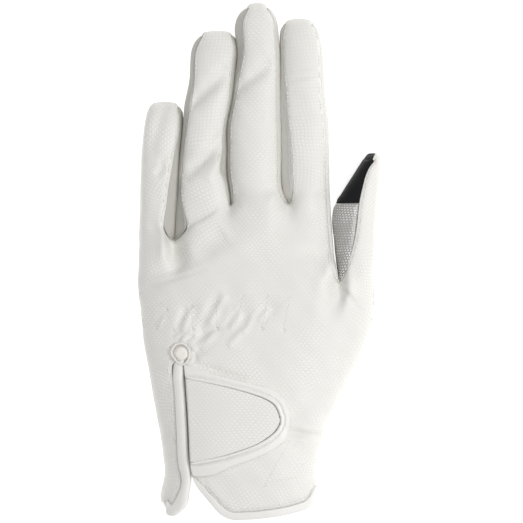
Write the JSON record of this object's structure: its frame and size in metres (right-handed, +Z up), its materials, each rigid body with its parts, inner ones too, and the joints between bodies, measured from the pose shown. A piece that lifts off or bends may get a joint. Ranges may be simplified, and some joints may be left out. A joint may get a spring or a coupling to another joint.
{
  "type": "horse riding glove",
  "caption": "Left-hand riding glove of embossed synthetic leather, lying palm down, with strip-gusseted fingers, a touch-tip thumb and a wrist strap over a vent.",
  "frame": {"origin": "the flat of the palm where the glove rests, in the middle of the hand's width and 69 percent of the way from the cuff edge to the index finger's root", "axes": "+X from the little finger to the thumb, +Y from the cuff to the fingertips, +Z up out of the back of the hand"},
  "size_m": [0.1096, 0.2316, 0.0361],
  "materials": {
    "embossed_leather": "white synthetic leather with a fine raised grip emboss",
    "smooth_leather": "smooth white synthetic leather, slightly satin",
    "silver_pad": "silver-grey synthetic leather with a scale emboss",
    "black_touch": "matt black touch-screen synthetic suede",
    "underlap_fabric": "off-white stretch fabric",
    "stitch_thread": "white polyester sewing thread"
  },
  "bodies": {
    "root": {"back_panel": "embossed_leather", "palm_panel": "embossed_leather", "fourchette_little_ring": "smooth_leather", "fourchette_ring_middle": "smooth_leather", "fourchette_middle_index": "smooth_leather", "thumb_pad": "silver_pad", "thumb_touch_tip": "black_touch", "vent_binding": "smooth_leather", "cuff_binding": "smooth_leather", "keyhole_loop": "smooth_leather", "vent_underlap": "underlap_fabric", "closure_strap": "smooth_leather", "strap_overlay": "embossed_leather", "strap_piping": "smooth_leather"}
  },
  "joints": []
}
